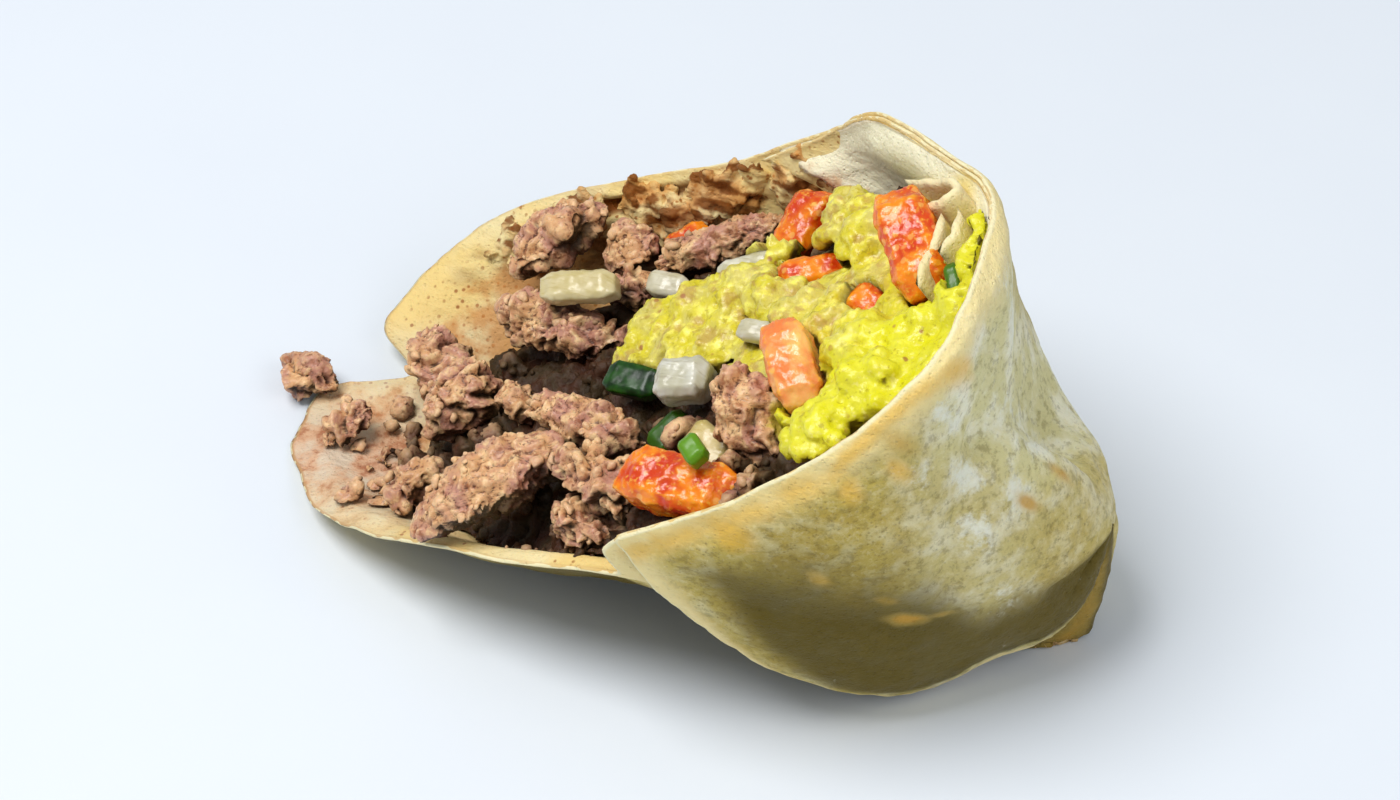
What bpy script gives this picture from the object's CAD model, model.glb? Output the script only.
"""Looks of one half of a burrito: the tortilla's plies, the beef, the guacamole, the vegetables.

Every filling starts from its node in the frame. The tortilla is wrapped round the same roll as
the frame's. Lengths are in millimetres until MM makes them metres. Angles go round the roll in
degrees: 0 is the back, 90 the top, 180 the front and 270 underneath.
"""

import math
import random

import bpy
import numpy as np
from mathutils import Matrix, Vector, noise
from mathutils.bvhtree import BVHTree


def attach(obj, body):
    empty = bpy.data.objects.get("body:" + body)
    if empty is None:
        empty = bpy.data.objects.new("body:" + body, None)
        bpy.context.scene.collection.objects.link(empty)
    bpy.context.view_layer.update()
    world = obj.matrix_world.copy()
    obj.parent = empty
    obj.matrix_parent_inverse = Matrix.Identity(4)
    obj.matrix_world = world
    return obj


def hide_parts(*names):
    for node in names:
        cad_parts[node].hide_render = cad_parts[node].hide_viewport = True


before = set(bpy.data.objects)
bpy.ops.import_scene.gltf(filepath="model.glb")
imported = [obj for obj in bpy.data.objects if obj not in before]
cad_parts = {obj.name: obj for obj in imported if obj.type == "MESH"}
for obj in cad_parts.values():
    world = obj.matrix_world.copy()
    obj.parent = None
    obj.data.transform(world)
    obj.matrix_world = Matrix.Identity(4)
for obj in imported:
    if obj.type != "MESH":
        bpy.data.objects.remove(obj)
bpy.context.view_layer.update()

MM = 0.001
SEED = 5

# The roll, the same as the frame's: its radius, the height of its axis and its closed end
ROLL_RADIUS = 36.0
AXIS_HEIGHT = 36.0
END_TIP = (61.4, 5.4, 22.5)

# Where each line of the roll starts to close in, and how square its shoulder is, for a line
# at the front, at the top, at the back and underneath
CLOSING_X = (1.5, 43.8, -6.0, 33.5)
SHOULDER = (1.9, 1.22, 1.6, 2.3)

# Places where the roll swells or sinks: angle, its width, x, its length, height
SWELLS = (
    (46, 26, 12, 20, 2.4),  # the flap bulges at the back
    (268, 42, 0, 300, 0.5),  # underneath
    (222, 24, 8, 14, -3.8),  # beside the free edge of the outer ply
    (205, 35, 33, 14, 1.8),  # the belly
    (228, 22, -45, 16, 1.5),  # the lip flares out
    (242, 25, 53, 8, -6.6),  # under the closed end
    (86, 22, 54, 8, -8.5),  # over the closed end
)
WAIST = (87, 40, 49.2, 6.0, -21.0)  # the pinch behind the high end of the cut
WAIST_RUN = 5.0
CORNER = (271, 8, 8.0)  # angle, width and height of the folded corner under the closed end
CORNER_X = (38.0, 54.0)

# The slanted cut: x = CUT_BACK * y + CUT_RISE * (z - AXIS_HEIGHT) + CUT_START
CUT_BACK = -0.28
CUT_RISE = 1.4
CUT_START = -3.2

# How far the tortilla's edge lies past the cut plane: angle, width, distance
EDGE_WAVES = (
    (-31, 25, -6.2),  # the back wall stands taller
    (5, 13, 3.4),  # and is torn lower here
    (46, 15, -9.0),  # the raised flap
    (95, 34, -2.7),  # the high end
    (-70, 6, 9.5),  # the notch between the back wall and the lip
    (-103, 33, -5.4),  # the lip
)

# Where the inner ply's edge is torn back, below the corner of the outer ply
SET_BACK = (197, 10, 14.0)

# The free edge of the outer ply, from the rim at the front to underneath the closed end
SEAM_START = 180.0
SEAM_X = 7.0
SEAM_SLOPE = 0.38
SEAM_RUN = 24.0

# The plies of the tortilla
INNER_PLY = 1.7
OUTER_PLY = 1.4
PLY_BACK_ANGLE = 10.0
PLY_END_ANGLE = 248.0

# The filling's top under the cut
FILLING_DEPTH = 6.5
BACK_DEPTH = 4.0
HIGH_END_FILL = 0.75

CUT_NORMAL = Vector((-1.0, CUT_BACK, CUT_RISE)).normalized()
CUT_LONG = Vector((CUT_RISE, 0.0, 1.0)).normalized()
CUT_ACROSS = CUT_NORMAL.cross(CUT_LONG)
CUT_CENTRE = Vector((CUT_START, 0.0, AXIS_HEIGHT))

# The pieces at the cut lie tipped a little to the front and to the high end
PIECE_FACE = (0.37 * CUT_LONG - 0.34 * CUT_ACROSS + 0.86 * CUT_NORMAL).normalized()

COUNT = {"beef": 16, "tomato": 7, "onion": 6, "pepper": 4}


def node_names(kind):
    return [f"{kind}_{i + 1:02d}" for i in range(COUNT[kind])]


# ---------------------------------------------------------------- shape of the roll


def hump(angle, centre, width):
    """1 at the centre angle, falling to 0 over the width."""
    away = (angle - centre + 180.0) % 360.0 - 180.0
    return np.exp(-((away / width) ** 2))


def rise(t):
    """0 to 1, smooth at both ends."""
    t = np.clip(t, 0.0, 1.0)
    return t * t * (3.0 - 2.0 * t)


def around(angle, sides):
    """A value that passes smoothly through its values at the front, top, back and bottom."""
    front, top, back, bottom = sides
    c = math.cos(math.radians(angle))
    s = math.sin(math.radians(angle))
    return (back if c > 0 else front) * c * c + (top if s > 0 else bottom) * s * s


def cut_x(y, z):
    return CUT_BACK * y + CUT_RISE * (z - AXIS_HEIGHT) + CUT_START


def rim_x(angle, y, z):
    """Where the tortilla's edge lies: the cut plane, its torn places and its lip."""
    return cut_x(y, z) + sum(far * hump(angle, at, width) for at, width, far in EDGE_WAVES)


def swell(angle, x, place):
    """One smooth swelling at its angle and its place along the roll."""
    centre, width, at, length, height = place
    return height * hump(angle, centre, width) * np.exp(-(((x - at) / length) ** 2))


def seam_x(angle):
    """Where the free edge of the outer ply crosses this side of the roll."""
    turned = angle - SEAM_START
    return SEAM_X + SEAM_SLOPE * turned + SEAM_RUN * rise((turned - 30.0) / 50.0)


def side_line(angle, inset, tip_inset):
    """One line of the roll's surface, from far out past the cut to the tip of the closed end."""
    turn = math.radians(angle)
    rim = rim_x(angle, ROLL_RADIUS * math.cos(turn), ROLL_RADIUS * math.sin(turn) + AXIS_HEIGHT)
    start = max(around(angle, CLOSING_X), rim + 0.5)
    power = around(angle, SHOULDER)
    tip = END_TIP[0] - tip_inset
    steps = 120
    straight = np.linspace(-75.0, start, steps, endpoint=False)
    a = np.linspace(0.0, math.pi / 2, steps)
    x = np.concatenate((straight, start + (tip - start) * np.sin(a) ** (2.0 / power)))
    cap = np.clip(np.cos(a), 0.0, 1.0) ** (2.0 / power)
    shrink = np.concatenate((np.ones(steps), cap))
    radius = ROLL_RADIUS + sum(swell(angle, x, place) for place in SWELLS)
    r = (radius - inset) * shrink
    r = r + swell(angle, x, WAIST) * rise((x - rim - 0.5) / WAIST_RUN)
    low, high = CORNER_X
    corner = rise((x - low) / (high - low)) * shrink**0.25
    r = np.maximum(r + CORNER[2] * hump(angle, CORNER[0], CORNER[1]) * corner, 0.0)
    drift = rise((x - start + 4.0) / (tip - start + 4.0))
    y = END_TIP[1] * drift + r * math.cos(turn)
    z = AXIS_HEIGHT + (END_TIP[2] - AXIS_HEIGHT) * drift + r * math.sin(turn)
    return np.stack((x, y, np.maximum(z, inset)), axis=1)


def from_edge(line, edge, fractions):
    """Points of the line at these fractions of its length past the edge, and their distances."""
    steps = np.linalg.norm(np.diff(line, axis=0), axis=1)
    length = np.concatenate(([0.0], np.cumsum(steps)))
    past = line[:, 0] - edge
    first = int(np.argmax(past >= 0.0))
    share = past[first - 1] / (past[first - 1] - past[first])
    begin = length[first - 1] + share * (length[first] - length[first - 1])
    away = fractions * (length[-1] - begin)
    points = [np.interp(begin + away, length, line[:, k]) for k in range(3)]
    return np.stack(points, axis=1), away


def field(points, size, seed=0.0, octaves=3):
    """Smooth noise at every point, about -1 to 1, with features of this size."""
    flat = (points.reshape(-1, 3) / size + seed).tolist()
    values = [noise.fractal(p, 1.0, 2.0, octaves) for p in flat]
    return np.array(values).reshape(points.shape[:-1])


def cells(points, size, seed=0.0):
    """Distance to the nearest of scattered centres, 0 at a centre and about 1 between them."""
    flat = (points.reshape(-1, 3) / size + seed).tolist()
    values = [noise.voronoi(p)[0][0] for p in flat]
    return np.array(values).reshape(points.shape[:-1])


# ---------------------------------------------------------------- making and shaping pieces


def select_only(*objs):
    bpy.ops.object.select_all(action="DESELECT")
    for obj in objs:
        obj.select_set(True)
    bpy.context.view_layer.objects.active = objs[0]


def in_edit_mode(obj, *steps):
    """Runs edit-mode operators, each a function, on all of the piece."""
    select_only(obj)
    bpy.ops.object.mode_set(mode="EDIT")
    bpy.ops.mesh.select_all(action="SELECT")
    for step in steps:
        step()
    bpy.ops.object.mode_set(mode="OBJECT")


def merge(distance):
    return lambda: bpy.ops.mesh.remove_doubles(threshold=distance * MM)


def face_outwards():
    bpy.ops.mesh.normals_make_consistent(inside=False)


def modify(obj, kind, **settings):
    """Adds a modifier and applies it."""
    modifier = obj.modifiers.new(kind.title(), kind)
    for key, value in settings.items():
        setattr(modifier, key, value)
    select_only(obj)
    bpy.ops.object.modifier_apply(modifier=modifier.name)


def fuse(obj, voxel):
    modify(obj, "REMESH", mode="VOXEL", voxel_size=voxel * MM)


def smooth(obj):
    select_only(obj)
    bpy.ops.object.shade_smooth()


def points_of(obj):
    """The piece's points in millimetres."""
    points = np.empty(len(obj.data.vertices) * 3, np.float32)
    obj.data.vertices.foreach_get("co", points)
    return points.reshape(-1, 3).astype(float) / MM


def put_points(obj, points):
    obj.data.vertices.foreach_set("co", (points * MM).astype(np.float32).ravel())
    obj.data.update()


def normals_of(obj):
    normals = np.empty(len(obj.data.vertices) * 3, np.float32)
    obj.data.vertices.foreach_get("normal", normals)
    return normals.reshape(-1, 3).astype(float)


def write(obj, name, values):
    """Stores one number for each point, which a material reads by its name."""
    layer = obj.data.attributes.new(name, "FLOAT", "POINT")
    layer.data.foreach_set("value", np.asarray(values, np.float32).ravel())


def copy_of(node, name):
    """A merged copy of a node's solid, as a new piece."""
    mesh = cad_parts[node].data.copy()
    mesh.name = name
    mesh.materials.clear()
    obj = bpy.data.objects.new(name, mesh)
    bpy.context.scene.collection.objects.link(obj)
    in_edit_mode(obj, merge(0.005))
    if mesh.has_custom_normals:
        bpy.ops.mesh.customdata_custom_splitnormals_clear()
    return obj


def grid(name, points):
    """A grid primitive laid out on points, which has the shape (columns, rows, 3)."""
    columns, rows = points.shape[:2]
    bpy.ops.mesh.primitive_grid_add(x_subdivisions=columns - 1, y_subdivisions=rows - 1, size=1)
    obj = bpy.context.active_object
    obj.name = obj.data.name = name
    put_points(obj, points.transpose(1, 0, 2))
    return obj


def shell(name, middle, half, closed, marks):
    """A closed sheet with round edges, from its middle surface and half its thickness."""
    if closed:
        wrapped = np.concatenate((middle[-2:-1], middle, middle[1:2]))
        across = (wrapped[2:] - wrapped[:-2]) / 2
    else:
        across = np.gradient(middle, axis=0)
    along = np.gradient(middle, axis=1)
    normal = np.cross(across, along)
    normal /= np.linalg.norm(normal, axis=2, keepdims=True) + 1e-9
    sides = []
    for sign in (1.0, -1.0):
        side = grid(name, middle + sign * normal * half[..., None])
        for mark, values in marks.items():
            write(side, mark, values.T)
        write(side, "side", np.full(half.T.shape, sign))
        sides.append(side)
    select_only(*sides)
    bpy.ops.object.join()
    obj = bpy.context.active_object
    in_edit_mode(obj, merge(0.004), face_outwards)
    smooth(obj)
    return obj


def template(radius, seed, subdivisions):
    """One lumpy grain about the origin, to be copied."""
    bpy.ops.mesh.primitive_ico_sphere_add(subdivisions=subdivisions, radius=1.0)
    obj = bpy.context.active_object
    shape = np.array([v.co[:] for v in obj.data.vertices])
    shape = shape * (1.0 + 0.35 * field(shape, 1.1, seed))[:, None] * radius
    faces = np.array([p.vertices[:] for p in obj.data.polygons])
    bpy.data.objects.remove(obj)
    return shape, faces


def joined(name, shapes, places):
    """One mesh holding a copy of a shape for each place, a place being (shape index, 4x4)."""
    verts, faces, count = [], [], 0
    for index, place in places:
        shape, sides = shapes[index]
        matrix = np.array(place)
        verts.append(shape @ matrix[:3, :3].T + matrix[:3, 3])
        faces.append(sides + count)
        count += len(shape)
    mesh = bpy.data.meshes.new(name)
    mesh.from_pydata((np.concatenate(verts) * MM).tolist(), [], np.concatenate(faces).tolist())
    obj = bpy.data.objects.new(name, mesh)
    bpy.context.scene.collection.objects.link(obj)
    return obj


def tree_of(*objs):
    """What rays and distances are measured to, in millimetres."""
    verts, faces, count = [], [], 0
    for obj in objs:
        points = points_of(obj)
        verts.extend(points.tolist())
        faces.extend([i + count for i in p.vertices] for p in obj.data.polygons)
        count += len(points)
    return BVHTree.FromPolygons(verts, faces)


def from_cut(along, across, above):
    return CUT_CENTRE + along * CUT_LONG + across * CUT_ACROSS + above * CUT_NORMAL


def to_cut(points):
    away = points - np.array(CUT_CENTRE)
    return away @ np.array(CUT_LONG), away @ np.array(CUT_ACROSS), away @ np.array(CUT_NORMAL)


def filling_top(y, z):
    """Where the top of the meat lies on the line along the roll through (y, z)."""
    high = rise((z - AXIS_HEIGHT - 12.0) / 20.0)
    depth = (FILLING_DEPTH + BACK_DEPTH * rise(y / ROLL_RADIUS)) * (1.0 - HIGH_END_FILL * high)
    return cut_x(y, z) + depth / abs(CUT_NORMAL.x)


# ---------------------------------------------------------------- materials


def colour(red, green, blue):
    """A linear colour from display values of 0 to 255."""
    return tuple(((c / 255 + 0.055) / 1.055) ** 2.4 for c in (red, green, blue)) + (1.0,)


class Value:
    """A node's output. Arithmetic on it adds Math nodes."""

    def __init__(self, finish, socket):
        self.finish = finish
        self.socket = socket

    def __add__(self, other):
        return self.finish.math("ADD", self, other)

    def __sub__(self, other):
        return self.finish.math("SUBTRACT", self, other)

    def __rsub__(self, other):
        return self.finish.math("SUBTRACT", other, self)

    def __mul__(self, other):
        return self.finish.math("MULTIPLY", self, other)

    __radd__ = __add__
    __rmul__ = __mul__


class Finish:
    """A material under construction, on its Principled shader."""

    def __init__(self, name, **constants):
        self.material = bpy.data.materials.new(name)
        self.material.use_nodes = True
        self.tree = self.material.node_tree
        self.shader = self.tree.nodes["Principled BSDF"]
        for key, value in constants.items():
            self.shader.inputs[key.replace("_", " ")].default_value = value

    def node(self, kind, settings, sockets, output=0):
        """Any node: its type, then its settings, then its sockets' values or links."""
        made = self.tree.nodes.new("ShaderNode" + kind)
        for key, value in settings.items():
            if key == "stops":
                self.fill_ramp(made.color_ramp, value)
            else:
                setattr(made, key, value)
        for key, value in sockets.items():
            self.feed(made.inputs[key], value)
        return Value(self, made.outputs[output])

    def fill_ramp(self, ramp, stops):
        while len(ramp.elements) < len(stops):
            ramp.elements.new(0.5)
        for element, (position, value) in zip(ramp.elements, stops):
            element.position = position
            element.color = value

    def feed(self, socket, value):
        if isinstance(value, Value):
            self.tree.links.new(value.socket, socket)
        else:
            socket.default_value = value

    def math(self, operation, *values, clamp=False):
        settings = {"operation": operation, "use_clamp": clamp}
        return self.node("Math", settings, dict(enumerate(values)))

    def mix(self, factor, first, second, blend="MIX"):
        """The first colour where the factor is 0, the second where it is 1."""
        settings = {"data_type": "RGBA", "blend_type": blend, "clamp_factor": True}
        return self.node("Mix", settings, {0: factor, 6: first, 7: second}, 2)

    def place(self, scale=(1, 1, 1), turn=(0, 0, 0)):
        """Object coordinates, stretched and turned."""
        coordinates = self.node("TexCoord", {}, {}, "Object")
        turn = tuple(math.radians(t) for t in turn)
        return self.node("Mapping", {}, {"Vector": coordinates, "Scale": scale, "Rotation": turn})

    def noise(self, place, size, detail=3.0, rough=0.55, twist=0.0):
        """Noise of 0 to 1 with features of this size in millimetres."""
        sockets = {
            "Vector": place,
            "Scale": 1.0 / (size * MM),
            "Detail": detail,
            "Roughness": rough,
            "Distortion": twist,
        }
        return self.node("TexNoise", {}, sockets)

    def cells(self, place, size, feature="F1"):
        sockets = {"Vector": place, "Scale": 1.0 / (size * MM)}
        return self.node("TexVoronoi", {"feature": feature}, sockets)

    def between(self, value, low, high):
        """0 below low, 1 above high, smooth between them."""
        settings = {"interpolation_type": "SMOOTHSTEP"}
        return self.node("MapRange", settings, {"Value": value, "From Min": low, "From Max": high})

    def mark(self, name):
        return self.node("Attribute", {"attribute_name": name}, {}, "Fac")

    def pointed(self):
        """Above 0.5 on ridges and below it in hollows."""
        return self.node("NewGeometry", {}, {}, "Pointiness")

    def bump(self, height, distance, strength=1.0):
        sockets = {"Height": height, "Distance": distance * MM, "Strength": strength}
        return self.node("Bump", {}, sockets)

    def finish(self, **links):
        """Feeds the shader's sockets, and gives the material."""
        for key, value in links.items():
            self.feed(self.shader.inputs[key.replace("_", " ")], value)
        return self.material


def tortilla_finish():
    made = Finish(
        "baked_tortilla",
        Subsurface_Weight=0.1,
        Subsurface_Radius=(1.0, 0.7, 0.4),
        Subsurface_Scale=0.001,
        Specular_IOR_Level=0.2,
    )
    place = made.place()
    drawn = made.place(scale=(0.3, 1.0, 1.0), turn=(0, 25, 20))
    blotch = made.noise(place, 16.0, detail=4.0)
    mottle = made.noise(place, 4.5, detail=5.0)
    fine = made.noise(place, 0.9, detail=4.0, rough=0.65)
    streak = made.noise(drawn, 1.6, detail=5.0, twist=0.6)

    # Outside: cream by the rim, tan then olive down the belly, greyer on the closed end
    tan = made.mix(made.between(blotch, 0.35, 0.65), colour(186, 158, 68), colour(198, 176, 88))
    tan = made.mix(made.between(mottle, 0.45, 0.7), tan, colour(218, 204, 146))
    tan = made.mix(made.between(streak, 0.5, 0.34) * 0.45, tan, colour(158, 138, 66))
    grey = made.mix(made.between(mottle, 0.4, 0.65), colour(222, 214, 158), colour(246, 242, 214))
    pores = made.cells(place, 0.75)
    tan = made.mix(made.between(fine, 0.5, 0.7) * 0.35, tan, colour(226, 210, 150))
    tan = made.mix(made.between(pores, 0.3, 0.08) * 0.5, tan, colour(160, 134, 66))
    outside = made.mix(made.mark("pale"), tan, grey)
    low = made.mark("low") + (mottle - 0.5) * 0.3
    outside = made.mix(made.between(low, 0.0, 1.0) * 0.94, outside, colour(88, 73, 0))
    dimples = made.noise(place, 1.5, detail=5.0, rough=0.7)
    outside = made.mix(made.between(dimples, 0.5, 0.36) * 0.4, outside, colour(112, 94, 34))
    bright = made.between(dimples, 0.54, 0.68) * (1.0 - made.between(low, 0.0, 0.8)) * 0.35
    outside = made.mix(bright, outside, colour(236, 226, 178))
    band = made.between(made.mark("from_rim") + mottle * 5.0, 11.0, 4.0)
    outside = made.mix(band * 0.9, outside, colour(254, 232, 166))
    stain = made.between(made.mark("stain") + (mottle - 0.5) * 1.2, 0.2, 1.1)
    outside = made.mix(stain * 0.75, outside, colour(240, 188, 66))
    crisp = made.between(made.mark("from_rim"), 0.8, 0.3)
    outside = made.mix(crisp, outside, colour(246, 234, 188))
    dusted = made.mark("flour") + (mottle - 0.5) * 1.5 + (fine - 0.5) * 1.5
    flour = made.between(dusted, 0.32, 1.1)
    outside = made.mix(flour * 0.85, outside, colour(240, 240, 222))
    halo = made.between(made.mark("toast") + (mottle - 0.5) * 0.6, 0.1, 0.5)
    outside = made.mix(halo * 0.4, outside, colour(206, 172, 84))
    toast = made.between(made.mark("toast") + (mottle - 0.5) * 0.9, 0.4, 0.95)
    outside = made.mix(toast * 0.75, outside, colour(204, 152, 50))

    # Inside: cream with small brown specks, torn and spongy further in, wet and smeared on the lip
    inside = made.mix(made.between(blotch, 0.4, 0.65), colour(244, 226, 170), colour(242, 212, 134))
    specks = made.cells(place, 1.3)
    rare = made.between(made.noise(place, 4.0) + made.mark("smear") * 0.3, 0.46, 0.66)
    inside = made.mix(made.between(specks, 0.3, 0.14) * rare * 0.85, inside, colour(160, 92, 30))
    inside = made.mix(made.mark("pale"), inside, colour(252, 244, 210))
    smear = made.between(made.mark("smear") + (mottle - 0.5) * 1.5, 0.35, 0.75)
    inside = made.mix(smear * 0.75, inside, colour(206, 134, 58))
    inside = made.mix(made.mark("pit"), inside, colour(128, 68, 10))
    inside = made.mix(made.between(made.mark("wet"), 0.3, 0.9) * 0.7, inside, colour(240, 212, 92))
    lip = made.mix(made.between(mottle, 0.36, 0.6), colour(226, 206, 180), colour(222, 176, 140))
    soak = made.between(fine * 0.5 + mottle, 0.78, 0.95)
    lip = made.mix(soak * 0.8, lip, colour(168, 96, 62))
    inside = made.mix(made.mark("lip"), inside, lip)
    edge = crisp * (0.3 + 0.6 * made.mark("lip"))
    inside = made.mix(edge, inside, colour(196, 148, 96))

    skin = made.mix(made.between(made.mark("side"), -0.2, 0.2), inside, outside)
    height = streak * 0.5 + mottle * 0.4 + dimples * 0.5 + fine * 0.3 + made.between(pores, 0.0, 0.35) * 0.2
    rough = 0.48 + fine * 0.2 - made.mark("lip") * 0.25
    return made.finish(Base_Color=skin, Roughness=rough, Normal=made.bump(height, 0.7, 0.9))


def beef_finish():
    made = Finish(
        "stewed_beef",
        Subsurface_Weight=0.1,
        Subsurface_Radius=(1.0, 0.35, 0.2),
        Subsurface_Scale=0.001,
        Specular_IOR_Level=0.25,
        Coat_Roughness=0.22,
    )
    place = made.place()
    patch = made.noise(place, 5.0, detail=3.0)
    tint = made.noise(place, 2.4, detail=4.0, rough=0.6)
    grain = made.noise(place, 0.9, detail=4.0, rough=0.65)
    ridge = made.pointed()
    meat = made.mix(made.between(patch, 0.38, 0.62), colour(198, 142, 120), colour(218, 166, 116))
    meat = made.mix(made.between(tint, 0.5, 0.66), meat, colour(240, 200, 148))
    meat = made.mix(made.between(tint, 0.45, 0.32) * 0.8, meat, colour(150, 88, 54))
    meat = made.mix(made.between(grain, 0.47, 0.32) * 0.85, meat, colour(118, 64, 36))
    meat = made.mix(made.between(ridge, 0.52, 0.6) * 0.6, meat, colour(248, 206, 156))
    meat = made.mix(made.between(ridge, 0.49, 0.42) * 0.85, meat, colour(78, 38, 20))
    dark = made.mix(made.between(patch, 0.4, 0.6), colour(56, 27, 8), colour(38, 27, 6))
    meat = made.mix(made.mark("deep") * 0.95, meat, dark)
    smear = made.between(made.mark("smear") + (tint - 0.5) * 1.6, 0.45, 0.85)
    meat = made.mix(smear * 0.7, meat, colour(214, 190, 76))
    height = grain * 0.8 + tint * 0.6
    rough = 0.34 + patch * 0.3
    coat = (1.0 - made.mark("deep")) * 0.3
    bumps = made.bump(height, 0.45, 0.9)
    return made.finish(Base_Color=meat, Roughness=rough, Coat_Weight=coat, Normal=bumps)


def guacamole_finish():
    made = Finish(
        "guacamole",
        Subsurface_Weight=0.25,
        Subsurface_Radius=(1.0, 0.9, 0.3),
        Subsurface_Scale=0.0015,
    )
    place = made.place()
    patch = made.noise(place, 6.0, detail=3.0)
    lump = made.noise(place, 2.0, detail=4.0, rough=0.6)
    fine = made.noise(place, 0.6, detail=3.0)
    speck = made.noise(place, 1.1, detail=3.0, rough=0.6)
    juice = made.noise(place, 3.2, detail=4.0, rough=0.6)
    green = made.mix(made.between(patch, 0.38, 0.62), colour(224, 210, 44), colour(218, 204, 104))
    green = made.mix(made.between(lump, 0.5, 0.66), green, colour(252, 242, 108))
    green = made.mix(made.between(lump, 0.44, 0.3) * 0.8, green, colour(186, 168, 14))
    green = made.mix(made.between(juice, 0.52, 0.64) * 0.65, green, colour(190, 150, 80))
    green = made.mix(made.mark("bright") * 0.75, green, colour(230, 226, 4))
    green = made.mix(made.between(speck, 0.56, 0.7) * 0.5, green, colour(250, 240, 150))
    green = made.mix(made.between(speck, 0.42, 0.3) * 0.6, green, colour(170, 150, 12))
    green = made.mix(made.mark("deep") * 0.9, green, colour(92, 74, 8))
    bits = made.between(made.cells(place, 2.6), 0.2, 0.1)
    rare = made.between(made.noise(place, 7.0), 0.48, 0.6)
    green = made.mix(bits * rare * 0.8, green, colour(166, 98, 62))
    rough = 0.2 + patch * 0.25
    height = lump * 0.7 + fine * 0.3
    return made.finish(Base_Color=green, Roughness=rough, Normal=made.bump(height, 0.5, 0.7))


def tomato_finish():
    made = Finish(
        "ripe_tomato",
        Subsurface_Weight=0.2,
        Subsurface_Radius=(1.0, 0.3, 0.12),
        Subsurface_Scale=0.002,
        Coat_Weight=0.22,
        Coat_Roughness=0.14,
    )
    place = made.place()
    patch = made.noise(place, 4.0, detail=2.0)
    grain = made.noise(place, 0.8, detail=3.0)
    seeds = made.cells(place, 2.4)
    flesh = made.mix(made.between(patch, 0.35, 0.65), colour(212, 58, 4), colour(250, 142, 14))
    flesh = made.mix(made.between(grain, 0.55, 0.72) * 0.6, flesh, colour(252, 196, 70))
    pale = made.mix(made.between(patch, 0.35, 0.62), colour(244, 186, 104), colour(238, 132, 66))
    flesh = made.mix(made.mark("pale"), flesh, pale)
    flesh = made.mix(made.between(made.pointed(), 0.51, 0.56) * 0.6, flesh, colour(252, 182, 44))
    flesh = made.mix(made.between(seeds, 0.24, 0.16) * 0.4, flesh, colour(252, 206, 110))
    flesh = made.mix(made.mark("skin"), flesh, colour(190, 34, 8))
    height = patch * 0.6 + grain * 0.5
    return made.finish(
        Base_Color=flesh, Roughness=0.14 + grain * 0.2, Normal=made.bump(height, 0.5, 0.6)
    )


def onion_finish():
    made = Finish(
        "raw_onion",
        Subsurface_Weight=0.35,
        Subsurface_Radius=(1.0, 1.0, 0.8),
        Subsurface_Scale=0.002,
        Coat_Weight=0.3,
        Coat_Roughness=0.15,
    )
    place = made.place()
    fibres = made.place(scale=(0.15, 1.0, 0.15), turn=(0, -35, 20))
    patch = made.noise(place, 3.5, detail=2.0)
    fibre = made.noise(fibres, 0.55, detail=3.0)
    white = made.mix(made.between(patch, 0.35, 0.65), colour(216, 214, 200), colour(190, 186, 160))
    white = made.mix(made.between(fibre, 0.52, 0.68) * 0.6, white, colour(160, 152, 128))
    white = made.mix(made.mark("green"), white, colour(214, 186, 84))
    return made.finish(
        Base_Color=white, Roughness=0.2 + patch * 0.2, Normal=made.bump(fibre, 0.25, 0.5)
    )


def pepper_finish():
    made = Finish(
        "green_chilli",
        Subsurface_Weight=0.1,
        Subsurface_Radius=(0.3, 1.0, 0.2),
        Subsurface_Scale=0.0015,
        Coat_Weight=0.2,
        Coat_Roughness=0.2,
        Specular_IOR_Level=0.3,
    )
    place = made.place()
    patch = made.noise(place, 2.2, detail=2.0)
    green = made.mix(made.between(patch, 0.35, 0.65), colour(8, 38, 2), colour(26, 74, 6))
    green = made.mix(made.mark("bright"), green, colour(104, 156, 24))
    return made.finish(
        Base_Color=green, Roughness=0.25 + patch * 0.2, Normal=made.bump(patch, 0.3, 0.3)
    )


# ---------------------------------------------------------------- the tortilla


def ply_cover(angle):
    """1 where the outer ply lies over the inner one."""
    return rise((angle - 15.0) / 35.0) * (1.0 - rise((angle - 250.0) / 18.0))


def surface_relief(points, angle, x, away):
    """How far the skin stands off the plain roll: soft waves, folds and fine wrinkles."""
    lean = points * np.array((0.4, 1.0, 1.0)) + points[..., 0:1] * np.array((0.0, 0.5, -0.3))
    height = 0.55 * field(points, 17.0, 3.0, 2)
    height += 0.22 * field(lean, 4.5, 8.0, 3)
    height += 0.10 * field(lean, 1.6, 1.0, 2)
    return height


FOLDS = (
    # (angle, x) where it starts and ends, height, width
    (103, 47.5, 129, 48.4, -1.2, 1.4),
    (129, 48.4, 171, 47.7, -0.9, 1.5),
    (121, 50.0, 150, 51.5, 0.6, 2.5),
    (222, 60.3, 196, 58.7, -1.0, 1.6),
    (181, 10.5, 149, 34.5, -0.45, 1.8),
)
TOAST = (
    # angle, x, how far round it reaches, how far along, strength
    (185, 42.8, 2.0, 2.5, 1.0),
    (137, 41.5, 1.6, 2.2, 0.7),
    (137, 54.3, 2.0, 1.6, 0.9),
    (119, 56.2, 2.2, 1.4, 0.8),
    (184, 46.6, 1.5, 1.5, 0.7),
    (262, 58.0, 4.0, 5.0, 0.7),
    (20, 20.0, 4.0, 5.0, 0.6),
    (330, 30.0, 3.0, 4.5, 0.7),
    (60, 5.0, 3.0, 3.0, 0.5),
    (300, 10.0, 3.5, 3.0, 0.6),
    (10, 48.0, 3.0, 3.0, 0.6),
)
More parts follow.
